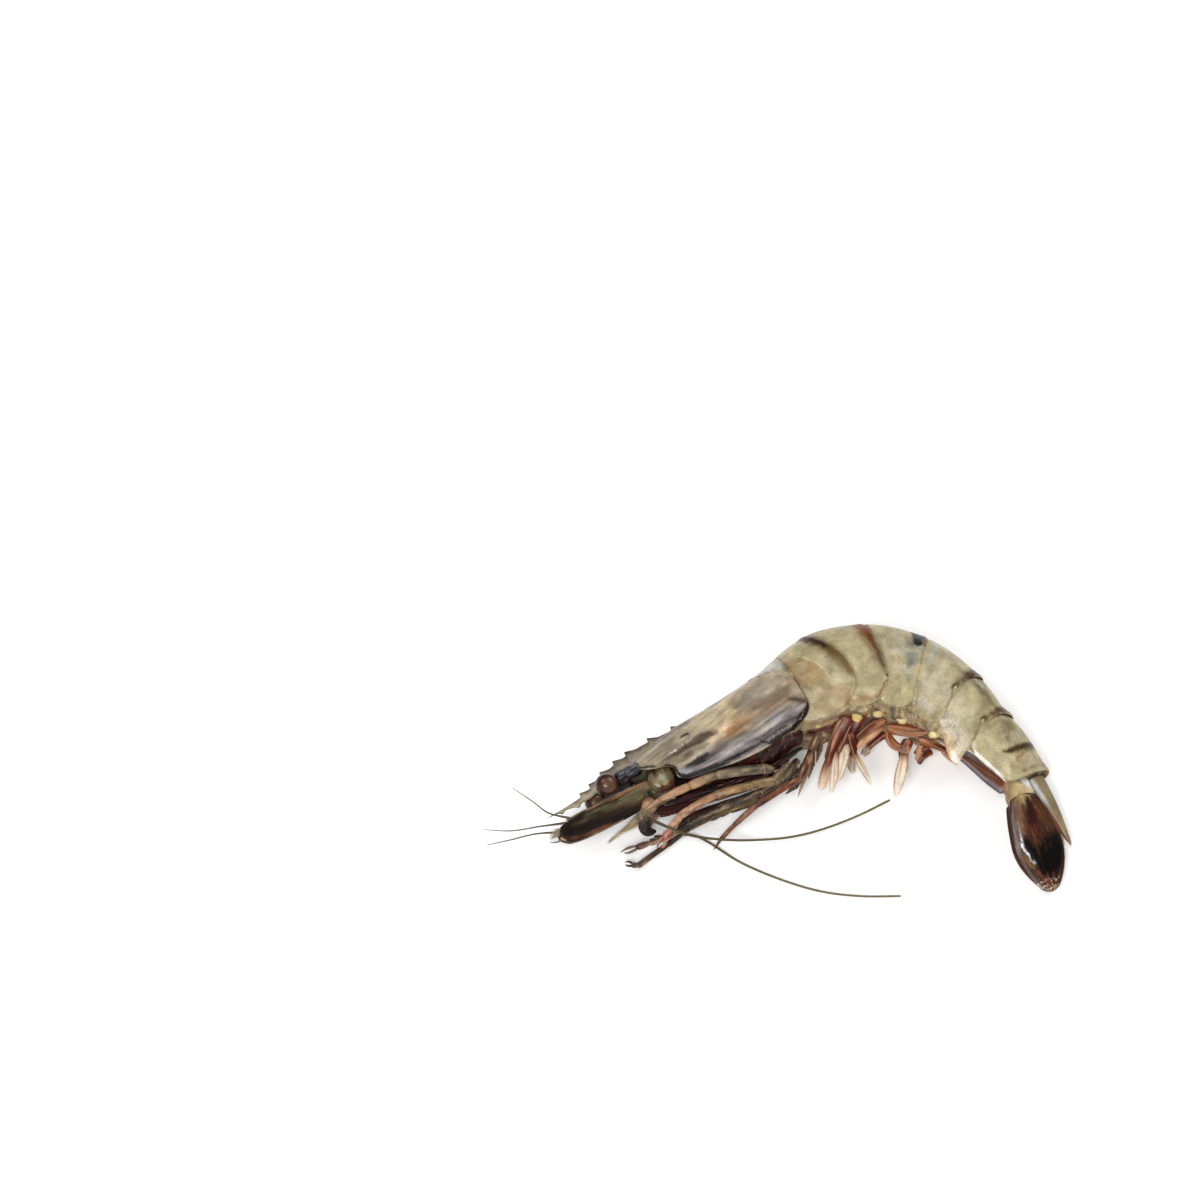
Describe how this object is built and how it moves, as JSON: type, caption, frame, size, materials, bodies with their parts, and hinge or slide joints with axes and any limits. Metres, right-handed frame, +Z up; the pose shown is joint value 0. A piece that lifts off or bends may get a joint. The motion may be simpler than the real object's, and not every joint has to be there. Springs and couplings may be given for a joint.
{
  "type": "raw tiger prawn",
  "caption": "Whole raw tiger prawn in its shell, lying on its side with a curled banded body, a toothed rostrum, long whip antennae, legs and a folded tail fan.",
  "frame": {"origin": "on the surface that the prawn lies on, under the middle of its bounding box", "axes": "+X from the head towards the tail, along the longest extent; +Y towards the arched back; +Z up, from the right flank that it lies on to the left flank"},
  "size_m": [0.1704, 0.0812, 0.0256],
  "materials": {
    "brown_shell": "wet, smooth shell, brown and violet-grey mottling over tan",
    "banded_shell": "wet, smooth, slightly translucent shell, olive-beige with a dark band on each segment",
    "dark_underside": "wet, dark maroon",
    "leg_shell": "wet, brown to pink-beige, darker at the joints",
    "pleopod_shell": "wet, maroon stems and thin cream blades",
    "eye": "very glossy, dark brown",
    "eyestalk_skin": "wet, blue-black",
    "antenna_base_shell": "glossy, translucent tan",
    "antenna_stem_shell": "wet, pink-beige and black-brown",
    "antennule_shell": "wet, tan-brown, darker in front",
    "whip": "smooth, thin, olive-brown",
    "scale_shell": "wet, dark brown with an olive-beige middle",
    "telson_shell": "wet, tan-olive",
    "tail_blade": "wet, red-brown to black with a thin clear rim"
  },
  "bodies": {
    "root": {"carapace": "brown_shell", "abdomen_segment_1": "banded_shell", "abdomen_segment_2": "banded_shell", "abdomen_segment_3": "banded_shell", "abdomen_segment_4": "banded_shell", "abdomen_segment_5": "banded_shell", "abdomen_segment_6": "banded_shell", "thorax": "dark_underside", "maxilliped_left": "leg_shell", "leg_1_left": "leg_shell", "leg_2_left": "leg_shell", "leg_3_left": "leg_shell", "leg_4_left": "leg_shell", "leg_5_left": "leg_shell", "maxilliped_right": "leg_shell", "leg_1_right": "leg_shell", "leg_2_right": "leg_shell", "leg_3_right": "leg_shell", "leg_4_right": "leg_shell", "leg_5_right": "leg_shell", "pleopod_1_left": "pleopod_shell", "pleopod_2_left": "pleopod_shell", "pleopod_3_left": "pleopod_shell", "pleopod_4_left": "pleopod_shell", "pleopod_5_left": "pleopod_shell", "pleopod_1_right": "pleopod_shell", "pleopod_2_right": "pleopod_shell", "pleopod_3_right": "pleopod_shell", "pleopod_4_right": "pleopod_shell", "pleopod_5_right": "pleopod_shell", "eye_left": "eye", "eyestalk_left": "eyestalk_skin", "eye_right": "eye", "eyestalk_right": "eyestalk_skin", "antenna_base_left": "antenna_base_shell", "antenna_stem_left": "antenna_stem_shell", "antenna_left": "whip", "antenna_base_right": "antenna_base_shell", "antenna_stem_right": "antenna_stem_shell", "antenna_right": "whip", "antennule_left": "antennule_shell", "antennule_feeler_left_1": "whip", "antennule_feeler_left_2": "whip", "antennule_right": "antennule_shell", "antennule_feeler_right_1": "whip", "antennule_feeler_right_2": "whip", "antennal_scale_left": "scale_shell", "antennal_scale_right": "scale_shell", "uropod_base_left": "telson_shell", "uropod_outer_left": "tail_blade", "uropod_inner_left": "tail_blade", "uropod_base_right": "telson_shell", "uropod_outer_right": "tail_blade", "uropod_inner_right": "tail_blade", "telson": "telson_shell"}
  },
  "joints": []
}
